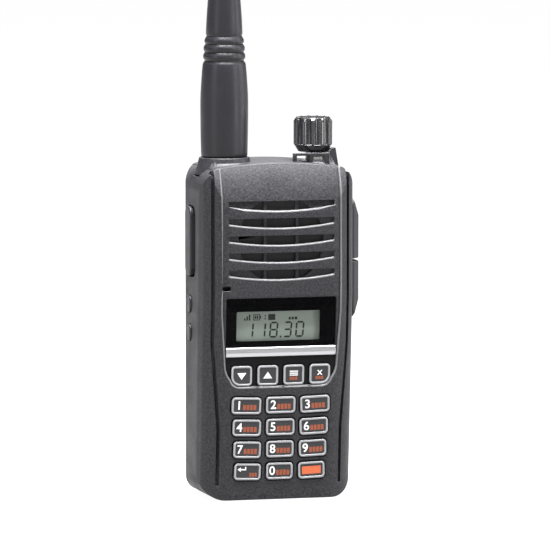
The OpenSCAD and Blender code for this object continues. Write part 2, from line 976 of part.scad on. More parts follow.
// The switches behind the button and the two side keys
module side_switches() {
    color([0.6, 0.6, 0.62]) {
        switch_body(ptt_z, ptt_travel);
        for (z = side_key_z)
            switch_body(z, side_travel);
    }
}

module switch_body(z, travel) {
    reach = -half_w + wall + 0.1 + lip_t + travel + 0.05;
    block([reach + 0.5, side_y - 1.6, z - 1.6], [side_board_x, side_y + 1.6, z + 1.6]);
    rod_x(side_y, z, 0.8, reach, reach + 0.5 + eps);
}

function cover_screw_z() = hinge_z - 12;

// Outline of the socket cover from the side, between two heights
module cover_part(z0, z1) {
    intersection() {
        side_plate(cover_w, cover_h, 3, half_w + 0.15, half_w + cover_t, cover_y, cover_z);
        block([0, -far, z0], [far, far, z1]);
        sideways_taper();
    }
}

// Rounds the cover off towards its top, bottom, front and back
module sideways_taper() {
    reach = half_w + cover_t;
    top = cover_z + cover_h / 2;
    low = cover_z - cover_h / 2;
    intersection() {
        upright(-far / 4, far / 4)
            polygon([
                [half_w - 1, low - 1], [half_w + 0.6, low - 1], [half_w + 0.6, low], [reach, low + 6],
                [reach, top - 6], [half_w + 0.6, top], [half_w + 0.6, top + 1], [half_w - 1, top + 1]
            ]);
        linear_extrude(far)
            polygon([
                [half_w - 1, cover_y - cover_w], [half_w + 0.9, cover_y - cover_w],
                [half_w + 0.9, cover_y - cover_w / 2], [reach, cover_y - cover_w / 2 + 2.6],
                [reach, cover_y + cover_w / 2 - 2.6], [half_w + 0.9, cover_y + cover_w / 2],
                [half_w + 0.9, cover_y + cover_w], [half_w - 1, cover_y + cover_w]
            ]);
    }
}

module socket_cover_flap() {
    color([0.13, 0.13, 0.14]) {
        cover_part(hinge_z + hinge_gap, far);
        for (i = [0, 1])
            rod_x(jack_y, jack_z + i * jack_pitch, plug_hole_r - 1, half_w - 0.5, half_w + 0.2);
    }
}

module socket_cover_base() {
    color([0.13, 0.13, 0.14])
        difference() {
            cover_part(0, hinge_z - hinge_gap);
            rod_x(cover_y, cover_screw_z(), 1, 0, far);
            rod_x(cover_y, cover_screw_z(), 2.1, half_w + 1.6, far);
        }
}

module cover_screw() {
    color([0.7, 0.7, 0.7])
        difference() {
            union() {
                rod_x(cover_y, cover_screw_z(), 2, half_w + 1.6, half_w + 2.9);
                rod_x(cover_y, cover_screw_z(), 1, half_w - 4, half_w + 1.6 + eps);
            }
            for (a = [0, 90])
                translate([half_w + 2.3, cover_y, cover_screw_z()])
                    rotate([a, 0, 0])
                        translate([0, -1.1, -0.2])
                            cube([2, 2.2, 0.4]);
        }
}

module jack_block() {
    x1 = half_w - wall - 0.1;
    color([0.1, 0.1, 0.1])
        difference() {
            block([jack_block_x, jack_y - 3.9, jack_z - 4.4], [x1, jack_y + 4, jack_z + jack_pitch + 4.4]);
            rod_x(jack_y, jack_z, jack_r, jack_block_x - 1, x1 + 1);
            rod_x(jack_y, jack_z + jack_pitch, mic_jack_r, jack_block_x - 1, x1 + 1);
        }
}

// ---------- sound and boards ----------

module speaker() {
    y0 = front_y + front_wall + 0.35;
    color([0.35, 0.35, 0.37])
        difference() {
            union() {
                rod_y(0, speaker_z, speaker_d / 2, y0, y0 + 2);
                rod_y(0, speaker_z, speaker_d / 2 - 4, y0, y0 + 4.4);
                rod_y(0, speaker_z, speaker_d / 2 - 8, y0, y0 + speaker_h);
            }
            rod_y(0, speaker_z, speaker_d / 2 - 2, y0 - 1, y0 + 0.8);
        }
}

module speaker_cloth() {
    color([0.04, 0.04, 0.04])
        rod_y(0, speaker_z, speaker_d / 2, front_y + front_wall + 0.02, front_y + front_wall + 0.32);
}

module microphone() {
    color([0.6, 0.6, 0.62])
        rod_y(mic_x + 0.6, mic_z - 0.6, 2, front_y + front_wall + 1.1, front_y + front_wall + 3.6);
}

module main_board() {
    color([0.05, 0.32, 0.18])
        block([-tub_inner, board_y, wall + 3], [tub_inner, board_y + board_t, pack_h - 0.5]);
}

module shield_can() {
    color([0.72, 0.72, 0.7])
        difference() {
            block([-14, board_y - 3.2, 42], [8, board_y, 64]);
            block([-13.7, board_y - 2.9, 42.3], [7.7, board_y + 1, 63.7]);
        }
}

// ---------- knob ----------

module volume_knob() {
    color([0.12, 0.12, 0.13])
        difference() {
            union() {
                post(knob_x, axis_y, knob_d / 2, knob_skirt_z, knob_top_z - 1.2);
                translate([knob_x, axis_y, knob_top_z - 1.2 - eps])
                    cylinder(r1 = knob_d / 2, r2 = knob_d / 2 - 0.9, h = 1.2);
                translate([knob_x, axis_y, knob_low_z])
                    cylinder(r1 = knob_d / 2 - 1.5, r2 = knob_d / 2, h = knob_skirt_z - knob_low_z + eps);
            }
            for (i = [0 : flute_count - 1])
                translate([knob_x, axis_y, 0])
                    rotate([0, 0, i * 360 / flute_count])
                        translate([knob_d / 2 + 0.45, 0, knob_skirt_z])
                            cylinder(r = 1.3, h = far, $fn = 32);
            post(knob_x, axis_y, bush_r + 1.1, knob_low_z - 1, knob_low_z + 1.6);
            post(knob_x, axis_y, shaft_d / 2, knob_low_z - 1, knob_top_z - 2);
        }
}

module volume_shaft() {
    color([0.75, 0.75, 0.75])
        post(knob_x, axis_y, shaft_d / 2, body_h - 6, knob_top_z - 2.1);
}

// The control under the top cover, with the threaded bush that the shaft turns in
module volume_control() {
    z1 = cover_seat_z - 0.2;
    color([0.45, 0.4, 0.3])
        difference() {
            union() {
                block([knob_x - 5, axis_y - 5, z1 - 6.4], [knob_x + 5, axis_y + 5, z1]);
                post(knob_x, axis_y, bush_r, z1 - eps, body_h - 0.2);
            }
            post(knob_x, axis_y, shaft_d / 2 + 0.06, body_h - 6.1, far);
        }
}

module volume_nut() {
    color([0.7, 0.7, 0.72])
        difference() {
            translate([knob_x, axis_y, nut_z])
                cylinder(r = bush_r + 1, h = 1, $fn = 6);
            post(knob_x, axis_y, bush_r, 0, far);
        }
}

// ---------- antenna ----------

// Half section of the rubber cover, as [radius, height above the collar]
function antenna_profile() = let (r = antenna_d / 2) [
    [r - 0.75, 0], [r - 0.25, 0.35], [r - 0.2, 1.4], [r - 0.05, 9], [r, 17], [r - 0.25, 24], [r - 0.85, 31],
    [r - 1.4, 31.8], [r - 0.95, 32.6], [r - 1.0, 33.7], [r - 1.5, 34.5], [r - 1.1, 35.2], [r - 1.2, 36.4],
    [r - 1.75, 37.2], [r - 1.35, 37.9], [r - 1.65, 39.0], [r - 2.1, 39.8], [r - 1.85, 40.8], [r - 2.1, 46],
    [r - 2.5, 51.5], [r - 3.1, 70], [r - 3.6, 95], [r - 4.0, 130], [r - 4.3, antenna_h - 4],
    [r - 4.6, antenna_h - 2], [r - 5.4, antenna_h - 0.6], [0, antenna_h]
];

module antenna_cover() {
    color([0.2, 0.2, 0.22])
        translate([-antenna_x, axis_y, antenna_z])
            difference() {
                rotate_extrude()
                    polygon(concat([[0, 0]], antenna_profile()));
                translate([0, 0, -1])
                    cylinder(r = 6.7, h = plug_h + 1);
                cylinder(r = core_r, h = antenna_h - 8);
            }
}

module antenna_rod() {
    color([0.7, 0.6, 0.3])
        post(-antenna_x, axis_y, core_r, antenna_z + plug_h - 3, antenna_z + antenna_h - 8);
}

// The bayonet shell: a groove inside lets the socket's two studs run round
module antenna_plug() {
    z0 = antenna_z + 0.4;
    color([0.75, 0.72, 0.6])
        difference() {
            post(-antenna_x, axis_y, 6.7, z0, antenna_z + plug_h);
            post(-antenna_x, axis_y, socket_r + 0.15, z0 - 1, stud_z + 4);
            post(-antenna_x, axis_y, socket_r + 1.2, stud_z - 1.3, stud_z + 1.3);
            translate([-antenna_x, axis_y, z0 - 1])
                rotate([0, 0, 90])
                    translate([-7, -1.1, 0])
                        cube([14, 2.2, stud_z - z0 + 1]);
            post(-antenna_x, axis_y, core_r, 0, far * 2);
        }
}

module antenna_pin() {
    color([0.85, 0.7, 0.3]) {
        post(-antenna_x, axis_y, 0.65, collar_z + 3, antenna_z + plug_h - 3);
    }
}

module antenna_socket() {
    nut_z = cover_seat_z - 1.6;
    color([0.8, 0.75, 0.55])
        difference() {
            union() {
                post(-antenna_x, axis_y, socket_r, nut_z - 4, collar_z + socket_h);
                post(-antenna_x, axis_y, 5.8, nut_z, body_h - 1.05);
                for (s = [-1, 1])
                    translate([-antenna_x, axis_y, stud_z])
                        rotate([0, 90, 0])
                            translate([0, 0, s > 0 ? socket_r - 1 : -socket_r - 0.9])
                                cylinder(r = stud_r, h = 1.9);
            }
            post(-antenna_x, axis_y, 0.75, nut_z - 5, far);
            post(-antenna_x, axis_y, 3.6, collar_z + 4, far);
        }
}

// ---------- battery pack ----------

module battery_case() {
    color([0.17, 0.17, 0.19])
        difference() {
            union() {
                difference() {
                    intersection() {
                        body_solid();
                        block([-far, pack_y, -1], [far, far, pack_h]);
                    }
                    intersection() {
                        body_solid(shell, 0);
                        block([-far, pack_y - 1, shell], [far, far, pack_h - shell]);
                    }
                }
                block([-3, latch_y - 0.7, spring_low - 1.2], [3, back_y - shell / 2, spring_low - 0.2]);
                for (s = [-1, 1])
                    rod_y(s * clip_pitch / 2, clip_z, 3, back_y - clip_depth - 1, back_y - shell / 2);
            }
            for (s = [-1, 1])
                rod_y(s * clip_pitch / 2, clip_z, clip_hole_r, back_y - clip_depth, far);
            block([-6.3, back_y - 3, latch_z - latch_travel - 0.6], [6.3, far, latch_z + 6.4]);
            block(
                [-tongue_half - 0.2, latch_y - 0.1, pack_h - 3],
                [tongue_half + 0.2, latch_y + 1.7, pack_h + 1]
            );
            for (s = [-1, 1])
                block([s * 9 - 2.5, back_y - pocket_depth, 6], [s * 9 + 2.5, far, 10]);
        }
}

module battery_lid() {
    color([0.14, 0.14, 0.15])
        difference() {
            union() {
                block([-box_half, box_y, tub_low + 1.4], [box_half, pack_y + eps, pack_h - 0.4]);
                block(
                    [-(half_w - shell - 0.5), pack_y, shell + 0.2],
                    [half_w - shell - 0.5, pack_y + 0.9, pack_h - 2]
                );
            }
            block([-(box_half - 1.2), box_y + 1.2, tub_low + 2.6], [box_half - 1.2, far, pack_h - shell - 2]);
            difference() {
                block([-far, pack_y - eps, -1], [far, pack_y + 2, far]);
                body_solid(shell + 0.1, 0);
            }
        }
}

module battery_cells() {
    w = box_half - 1.2 - 0.2 - cell_gap;
    color([0.2, 0.35, 0.6])
        for (s = [-1, 1])
            translate([s * (cell_gap + w / 2), (box_y + 1.4 + latch_y + 1.8) / 2, cell_z])
                linear_extrude(cell_h)
                    round_rect(w, latch_y + 1.8 - box_y - 1.4, 3);
}

module battery_latch() {
    color([0.1, 0.1, 0.11]) {
        block([-latch_half, latch_y, latch_z], [latch_half, latch_y + latch_t, pack_h - shell - 0.1]);
        block(
            [-tongue_half, latch_y + 0.1, pack_h - shell - 0.1 - eps],
            [tongue_half, latch_y + 1.5, pack_h + tongue_h]
        );
        difference() {
            block([-6, latch_y + latch_t - eps, latch_z], [6, back_y - 0.1, latch_z + 6]);
            for (i = [0 : 2])
                block([-5, back_y - 0.5, latch_z + 1.2 + i * 1.6], [5, back_y, latch_z + 2 + i * 1.6]);
        }
    }
}

// A coil spring swept along a helix
module latch_spring() {
    wire = 0.3;
    sides = 6;
    steps = 12;
    rings = spring_turns * steps;
    height = latch_z - spring_low - 2 * wire;
    points = [
        for (i = [0 : rings], j = [0 : sides - 1])
            let (
                a = i * 360 / steps,
                b = j * 360 / sides,
                r = spring_r + wire * cos(b)
            )
            [r * cos(a), r * sin(a), wire + height * i / rings + wire * sin(b)]
    ];
    faces = concat(
        [[for (j = [0 : sides - 1]) j]],
        [
            for (i = [0 : rings - 1], j = [0 : sides - 1])
                let (a = i * sides, b = a + sides, k = (j + 1) % sides)
                [a + j, b + j, b + k, a + k]
        ],
        [[for (j = [sides - 1 : -1 : 0]) rings * sides + j]]
    );
    color([0.75, 0.75, 0.75])
        translate([0, latch_y + 0.5, spring_low])
            polyhedron(points, faces, convexity = 10);
}

front_case();
top_cover();
rear_chassis();
main_seal();
chassis_screws();
display_window();
window_mask();
ledge_trim();
lcd_panel();
lcd_frame();
light_guide();
lcd_connector();
front_board();
key_domes();
key_sheet();
key_down();
key_up();
key_recall();
key_clear();
key_1();
key_2();
key_3();
key_4();
key_5();
key_6();
key_7();
key_8();
key_9();
key_enter();
key_0();
key_function();
ptt_button();
side_key_upper();
side_key_lower();
side_board();
side_switches();
socket_cover_flap();
socket_cover_base();
cover_screw();
jack_block();
speaker();
speaker_cloth();
microphone();
main_board();
shield_can();
volume_knob();
volume_shaft();
volume_control();
volume_nut();
status_lens();
antenna_cover();
antenna_rod();
antenna_plug();
antenna_pin();
antenna_socket();
battery_case();
battery_lid();
battery_cells();
battery_latch();
latch_spring();
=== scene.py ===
import json
import math
import bmesh
import bpy
from mathutils import Matrix, Vector


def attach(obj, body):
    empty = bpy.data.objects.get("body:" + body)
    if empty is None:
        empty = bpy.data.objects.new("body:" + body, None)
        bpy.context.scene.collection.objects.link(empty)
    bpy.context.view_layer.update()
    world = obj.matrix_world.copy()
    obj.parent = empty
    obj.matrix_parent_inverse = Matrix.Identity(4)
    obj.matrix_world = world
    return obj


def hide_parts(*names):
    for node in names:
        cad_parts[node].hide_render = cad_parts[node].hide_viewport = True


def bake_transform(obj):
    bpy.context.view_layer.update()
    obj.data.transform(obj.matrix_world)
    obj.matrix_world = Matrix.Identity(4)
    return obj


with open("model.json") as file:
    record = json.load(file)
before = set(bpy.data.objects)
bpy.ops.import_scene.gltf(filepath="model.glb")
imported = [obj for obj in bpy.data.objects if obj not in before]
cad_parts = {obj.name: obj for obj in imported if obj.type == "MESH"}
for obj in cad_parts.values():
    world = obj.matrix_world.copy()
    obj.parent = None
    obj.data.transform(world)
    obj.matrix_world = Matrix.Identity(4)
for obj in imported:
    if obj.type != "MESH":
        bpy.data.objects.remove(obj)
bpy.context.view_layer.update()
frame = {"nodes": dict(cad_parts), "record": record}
nodes = frame["nodes"]
mm = 0.001
scene = bpy.context.scene
print("frame loaded:", len(nodes), "nodes")

# camera and light

cameraSet = {
    "azimuth": -15,  # degrees, to the radio's left
    "elevation": 5.5,
    "distance": 1.97,
    "lens": 393,
    "aim": (-0.0025, -0.017, 0.0748),
}


def lookFrom(aim, azimuth, elevation, distance):
    a, e = math.radians(azimuth), math.radians(elevation)
    back = Vector((math.sin(a) * math.cos(e), -math.cos(a) * math.cos(e), math.sin(e)))
    return Vector(aim) + back * distance, (-back).to_track_quat("-Z", "Y")


camera = bpy.data.objects.new("camera", bpy.data.cameras.new("camera"))
scene.collection.objects.link(camera)
camera.data.lens = cameraSet["lens"]
camera.data.clip_end = 60
camera.location, turn = lookFrom(*[cameraSet[key] for key in ("aim", "azimuth", "elevation", "distance")])
camera.rotation_euler = turn.to_euler()
scene.camera = camera
scene.view_settings.view_transform = "Standard"

lightSet = {  # each: azimuth, elevation, distance, width, height, power
    "topBox": (0, 83, 0.9, 0.8, 0.6, 95.0),
    "rightBox": (46, 12, 0.95, 0.16, 0.8, 3.6),
    "leftBox": (-66, 12, 0.95, 0.2, 0.8, 1.9),
    "sideBox": (84, 14, 0.9, 0.3, 0.7, 3.0),
    "backBox": (180, 35, 1.0, 0.6, 0.5, 3.0),
}
lightAim = (0, 0, 0.08)
worldSet = {"colour": (1, 1, 1, 1), "strength": 0.1}

for name, (azimuth, elevation, distance, width, height, power) in lightSet.items():
    lamp = bpy.data.lights.new(name, "AREA")
    lamp.shape = "RECTANGLE"
    lamp.size, lamp.size_y, lamp.energy = width, height, power
    holder = bpy.data.objects.new(name, lamp)
    scene.collection.objects.link(holder)
    holder.location, turn = lookFrom(lightAim, azimuth, elevation, distance)
    holder.rotation_euler = turn.to_euler()

world = bpy.data.worlds.new("studio")
world.use_nodes = True
world.node_tree.nodes["Background"].inputs["Color"].default_value = worldSet["colour"]
world.node_tree.nodes["Background"].inputs["Strength"].default_value = worldSet["strength"]
scene.world = world
print("camera and lights placed")

# materials


def startMaterial(name, **sockets):
    made = bpy.data.materials.new(name)
    made.use_nodes = True
    shader = made.node_tree.nodes["Principled BSDF"]
    for socket, value in sockets.items():
        shader.inputs[socket.replace("_", " ")].default_value = value
    return made, shader


def addNode(made, kind, **settings):
    node = made.node_tree.nodes.new(kind)
    for key, value in settings.items():
        if key in node.inputs:
            node.inputs[key].default_value = value
        else:
            setattr(node, key, value)
    return node


def joinUp(made, source, target):
    made.node_tree.links.new(source, target)


def grainNoise(made, size, detail=2, stretch=(1, 1, 1)):
    place = addNode(made, "ShaderNodeTexCoord")
    mapping = addNode(made, "ShaderNodeMapping", Scale=stretch)
    joinUp(made, place.outputs["Object"], mapping.inputs["Vector"])
    noise = addNode(made, "ShaderNodeTexNoise", Scale=1 / size, Detail=detail, Roughness=0.6)
    joinUp(made, mapping.outputs["Vector"], noise.inputs["Vector"])
    return noise


# the base colour runs between a darker and a lighter tone of one colour
def colourFrom(made, shader, source, colour, contrast):
    ramp = addNode(made, "ShaderNodeValToRGB")
    ramp.color_ramp.elements[0].color = (*[c * (1 - contrast) for c in colour], 1)
    ramp.color_ramp.elements[1].color = (*[min(1, c * (1 + contrast)) for c in colour], 1)
    ramp.color_ramp.elements[0].position = 0.32
    ramp.color_ramp.elements[1].position = 0.68
    joinUp(made, source, ramp.inputs["Fac"])
    joinUp(made, ramp.outputs["Color"], shader.inputs["Base Color"])


def glossFrom(made, shader, source, low, high):
    ramp = addNode(made, "ShaderNodeMapRange")
    for socket, value in (("From Min", 0.3), ("From Max", 0.7), ("To Min", low), ("To Max", high)):
        ramp.inputs[socket].default_value = value
    joinUp(made, source, ramp.inputs["Value"])
    joinUp(made, ramp.outputs["Result"], shader.inputs["Roughness"])


def bumpFrom(made, shader, source, depth, strength=1):
    bump = addNode(made, "ShaderNodeBump", Strength=strength, Distance=depth * mm)
    joinUp(made, source, bump.inputs["Height"])
    joinUp(made, bump.outputs["Normal"], shader.inputs["Normal"])


# moulded plastic, paint and rubber: a fine grain that shows in colour, gloss and surface
def grainedFinish(name, colour, roughness, grain=0.45, contrast=0.22, depth=0.03, wear=0.06, **sockets):
    sockets.setdefault("Specular_IOR_Level", 0.3)
    made, shader = startMaterial(name, Roughness=roughness, **sockets)
    fine = grainNoise(made, grain * mm, 3)
    colourFrom(made, shader, fine.outputs["Fac"], colour, contrast)
    broad = grainNoise(made, 9 * mm, 4)
    glossFrom(made, shader, broad.outputs["Fac"], roughness - wear, roughness + wear)
    bumpFrom(made, shader, fine.outputs["Fac"], depth)
    return made


# metal with fine lines drawn along one direction
def drawnMetal(name, colour, roughness, stretch=(1, 1, 14), grain=0.4):
    made, shader = startMaterial(name, Metallic=1, Roughness=roughness)
    lines = grainNoise(made, grain * mm, 3, stretch)
    colourFrom(made, shader, lines.outputs["Fac"], colour, 0.12)
    glossFrom(made, shader, lines.outputs["Fac"], roughness - 0.05, roughness + 0.1)
    bumpFrom(made, shader, lines.outputs["Fac"], 0.006)
    return made


def wovenCloth(name, colour, pitch):
    made, shader = startMaterial(name, Roughness=0.9, Sheen_Weight=0.2)
    place = addNode(made, "ShaderNodeTexCoord")
    threads = []
    for direction in ("X", "Z"):
        wave = addNode(made, "ShaderNodeTexWave", bands_direction=direction, Distortion=0.4)
        wave.inputs["Scale"].default_value = 0.314 / (pitch * mm)
        joinUp(made, place.outputs["Object"], wave.inputs["Vector"])
        threads.append(wave.outputs["Fac"])
    weave = addNode(made, "ShaderNodeMath", operation="MULTIPLY")
    joinUp(made, threads[0], weave.inputs[0])
    joinUp(made, threads[1], weave.inputs[1])
    colourFrom(made, shader, weave.outputs[0], colour, 0.5)
    bumpFrom(made, shader, weave.outputs[0], 0.1, 0.6)
    return made


finishes = {
    "case_plastic": grainedFinish("casePlastic", (0.0150, 0.0146, 0.0176), 0.5, 0.55, 0.9, 0.05),
    "top_plastic": grainedFinish("topPlastic", (0.0160, 0.0156, 0.0188), 0.46, 0.5, 0.7),
    "cast_chassis": grainedFinish("chassisPaint", (0.024, 0.024, 0.027), 0.46, 0.6, 0.18, 0.03),
    "pack_plastic": grainedFinish("packPlastic", (0.020, 0.020, 0.023), 0.52, 0.4),
    "rubber_black": grainedFinish("blackRubber", (0.022, 0.022, 0.025), 0.58, 0.35, 0.15, 0.012),
    "antenna_rubber": grainedFinish("antennaRubber", (0.011, 0.0108, 0.0136), 0.38, 0.5, 0.10, 0.008),
    "window_clear": grainedFinish("windowClear", (0.004, 0.004, 0.005), 0.05, 12, 0.1, 0.0, 0.01, Alpha=0.12,
                                  IOR=1.4, Specular_IOR_Level=0.03),
    "mask_black": grainedFinish("maskBlack", (0.0022, 0.0022, 0.0024), 0.3, 2, 0.1, 0.001, 0.02,
                                Specular_IOR_Level=0.03),
    "trim_silver": drawnMetal("trimSilver", (0.50, 0.50, 0.515), 0.36, (14, 1, 1), 0.5),
    "lcd_green": grainedFinish("displayGreen", (0.275, 0.32, 0.28), 0.35, 0.3, 0.04, 0.002, 0.03),
    "white_plastic": grainedFinish("whitePlastic", (0.72, 0.72, 0.69), 0.4, 0.6, 0.05, 0.01),
    "board_green": grainedFinish("boardGreen", (0.02, 0.13, 0.06), 0.35, 1.2, 0.3, 0.03),
    "dome_steel": drawnMetal("domeSteel", (0.70, 0.70, 0.71), 0.28),
    "key_smoke": grainedFinish("keySmoke", (0.022, 0.022, 0.024), 0.34, 0.4, 0.15, 0.006, 0.03),
    "button_plastic": grainedFinish("buttonPlastic", (0.018, 0.018, 0.021), 0.42, 0.4, 0.2, 0.02),
    "knob_plastic": grainedFinish("knobPlastic", (0.011, 0.011, 0.0125), 0.2, 0.5, 0.15, 0.006, 0.03,
                                  Specular_IOR_Level=0.8),
    "steel": drawnMetal("screwSteel", (0.62, 0.62, 0.63), 0.3),
    "tin_plate": drawnMetal("tinPlate", (0.68, 0.68, 0.66), 0.36),
    "brass_plate": drawnMetal("brassPlate", (0.74, 0.60, 0.34), 0.26),
    "cloth_black": wovenCloth("speakerCloth", (0.008, 0.008, 0.008), 0.4),
    "cell_wrap": grainedFinish("cellWrap", (0.06, 0.15, 0.38), 0.3, 1.5, 0.1, 0.01),
    "lens_white": grainedFinish("lensWhite", (0.14, 0.14, 0.135), 0.22, 0.5, 0.06, 0.004),
}
legendWhite = grainedFinish("legendWhite", (0.70, 0.70, 0.70), 0.45, 0.3, 0.06, 0.003)
legendOrange = grainedFinish("legendOrange", (0.22, 0.055, 0.026), 0.5, 0.3, 0.15, 0.004)
patchOrange = grainedFinish("patchOrange", (0.46, 0.10, 0.035), 0.4, 0.4, 0.10, 0.004)
outlineGrey = grainedFinish("outlineGrey", (0.24, 0.24, 0.25), 0.32, 0.4, 0.08, 0.004)
segmentInk = grainedFinish("segmentInk", (0.018, 0.022, 0.020), 0.4, 0.3, 0.1, 0.001)
# painted highlight: a lighter grey for the sloped slot lips and panel rims, where the lamps would glint
rimPaintedHighlight = grainedFinish("rimPaintedHighlight", (0.10, 0.10, 0.104), 0.34, 0.4, 0.15, 0.004)
# painted shade: a near-black for the recess floor between the keys and beside the display, where shade falls
shadowPlastic = grainedFinish("shadowPlastic", (0.004, 0.004, 0.0046), 0.5, 0.45, 0.3,
                              Specular_IOR_Level=0.1)
print("materials made:", len(bpy.data.materials))

# every node takes its own finish
slotOf = {part["node"]: part["material_slot"] for part in frame["record"]["subparts"]}
for name, part in nodes.items():
    part.data.materials.clear()
    part.data.materials.append(finishes[slotOf[name]])
nodes["microphone"].data.materials[0] = finishes["rubber_black"]  # its boot

# shared shape work

bodyOf = {node: body for body, members in frame["record"]["behaviour"]["bodies"].items() for node in members}


def finishPiece(mesh, name, material, body, smooth=True):
    mesh.polygons.foreach_set("use_smooth", [smooth] * len(mesh.polygons))
    mesh.materials.append(material)
    piece = bpy.data.objects.new(name, mesh)
    scene.collection.objects.link(piece)
    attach(piece, body)
    return piece


# only edges that stand out are rounded, never the ones in a corner
def outwardEdges(bm, sharp):
    limit = math.radians(sharp)
    return [edge for edge in bm.edges if len(edge.link_faces) == 2 and edge.calc_face_angle_signed(0) > limit]


sharpEdge = 28  # degrees between the faces of an edge that gets rounded


# a node's own shape with its sharp edges rounded, as a moulding has them; first works on the mesh before that
def softened(node, name, width, segments=2, flat=0.01, first=None):
    bm = bmesh.new()
    bm.from_mesh(nodes[node].data)
    bmesh.ops.remove_doubles(bm, verts=bm.verts, dist=2e-6)
    bmesh.ops.dissolve_limit(bm, angle_limit=flat, verts=bm.verts, edges=bm.edges)
    if first:
        first(bm)
    layer = bm.edges.layers.float.new("bevel_weight_edge")
    for edge in outwardEdges(bm, sharpEdge):
        edge[layer] = 1.0
    mesh = bpy.data.meshes.new(name)
    bm.to_mesh(mesh)
    bm.free()
    piece = finishPiece(mesh, name, finishes[slotOf[node]], bodyOf[node])
    bevel = piece.modifiers.new("edges", "BEVEL")
    bevel.limit_method = "WEIGHT"
    bevel.width = width * mm
    bevel.segments = segments
    bevel.use_clamp_overlap = False
    even = piece.modifiers.new("evenShade", "WEIGHTED_NORMAL")
    even.keep_sharp = True
    mesh.set_sharp_from_angle(angle=math.radians(sharpEdge))
    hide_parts(node)
    return piece


def roundedOutline(width, height, radii, steps=6):
    points = []
    corners = ((1, 1, 0), (-1, 1, 90), (-1, -1, 180), (1, -1, 270))  # right top first, then round
    for (sx, sy, start), r in zip(corners, radii):
        cx, cy = sx * (width / 2 - r), sy * (height / 2 - r)
        for i in range(steps + 1):
            a = math.radians(start + 90 * i / steps)
            points.append((cx + r * math.cos(a), cy + r * math.sin(a)))
    return points


# loops of points joined into a skin; closed joins the last loop to the first, else both ends are capped
def skinned(loops, closed=False):
    bm = bmesh.new()
    rows = [[bm.verts.new(p) for p in loop] for loop in loops]
    pairs = list(zip(rows, rows[1:])) + ([(rows[-1], rows[0])] if closed else [])
    for a, b in pairs:
        for i in range(len(a)):
            j = (i + 1) % len(a)
            bm.faces.new((a[i], a[j], b[j], b[i]))
    if not closed:
        bm.faces.new(list(reversed(rows[0])))
        bm.faces.new(rows[-1])
    bmesh.ops.recalc_face_normals(bm, faces=bm.faces)
    return bm


def intoMesh(bm, name, place, sharp=40):
    bm.transform(place)
    mesh = bpy.data.meshes.new(name)
    bm.to_mesh(mesh)
    bm.free()
    mesh.set_sharp_from_angle(angle=math.radians(sharp))
    return mesh


# the leaning part of the front: x to the right, y inwards, z up along the face from the knee
leaningFace = {"front": -17.35, "knee": 68, "lean": 5.1}
faceAngle = math.atan(leaningFace["lean"] / leaningFace["knee"])


def inMetres(x, y, z):
    return (x * mm, y * mm, z * mm)


facePlace = Matrix.Translation(inMetres(0, leaningFace["front"], leaningFace["knee"]))
facePlace = facePlace @ Matrix.Rotation(faceAngle, 4, "X")


# casework

caseSet = {
    "edge": 0.14,  # rounding of ordinary edges
    "rim": 0.62,  # slope along the panel sides and under the grille slots
    "panelHalf": 19.9,
    "panelLowHalf": 18.7,
    "panelLow": 38,
    "panelTop": 109.5,
    "lowEdge": 1.2,  # how far below panelLow the panel's lower edge may lie
    "taperLow": 45, "taperHigh": 62,  # the panel widens between these heights
    "slotTop": 99,
    "slotPitch": 5.65,
    "slotHalf": 17.9,
    "slotHeight": 3.1,
    "slotEndHeight": 1.6,
    "slotCount": 5,
    "cornerX": 16.6, "cornerR": 9.5,
    "crownZ": 95, "crownR": 38.1, "crownStart": 4,
    "keyShadowTop": 67.1, "keyShadowHalf": 18.8,  # painted shade on the floor between the keys
    "recess": (0.6, 1.3), "recessFloor": (0.6, 1.2),  # depths behind the face
    "foremost": -6,  # nothing behind this belongs to the front
    "facing": -0.9,  # how squarely a face of the floor looks forward
    "beside": 0.2, "besideFace": 0.3, "besideLip": 0.12, "slotEnd": 0.05,  # how close counts as on the line
}


def onSlotLip(x, z):
    c = caseSet
    sag = c["slotHeight"] - c["slotEndHeight"]
    radius = (c["slotHalf"] ** 2 + sag**2) / (2 * sag)
    if abs(x) > c["slotHalf"] + c["slotEnd"]:
        return False
    lip = c["slotTop"] - c["slotHeight"] + radius - math.sqrt(radius**2 - x * x)
    return any(abs(z - (lip - i * c["slotPitch"])) < c["besideLip"] for i in range(c["slotCount"]))


# how far back the front face is at a place on it
def faceY(x, z):
    c = caseSet
    drop = crown = 0
    if abs(x) > c["cornerX"]:
        drop = c["cornerR"] - math.sqrt(max(0, c["cornerR"] ** 2 - (abs(x) - c["cornerX"]) ** 2))
    if z > c["crownZ"]:
        start, r = math.radians(c["crownStart"]), c["crownR"]
        crown = r * math.cos(start) - math.sqrt(max(0, r * r - (z - c["crownZ"] + r * math.sin(start)) ** 2))
    return leaningFace["front"] + max(0, leaningFace["knee"] - z) * math.tan(faceAngle) + max(drop, crown)


def onPanelRim(x, z, deep):
    c = caseSet
    if abs(deep) > c["besideFace"] or not c["panelLow"] - c["lowEdge"] < z < c["panelTop"]:
        return False
    share = min(max((z - c["taperLow"]) / (c["taperHigh"] - c["taperLow"]), 0), 1)
    half = c["panelLowHalf"] + (c["panelHalf"] - c["panelLowHalf"]) * share
    return abs(abs(x) - half) < c["beside"] if z > c["taperLow"] else abs(x) < half + c["beside"]


def within(value, limits):
    return limits[0] < value < limits[1]
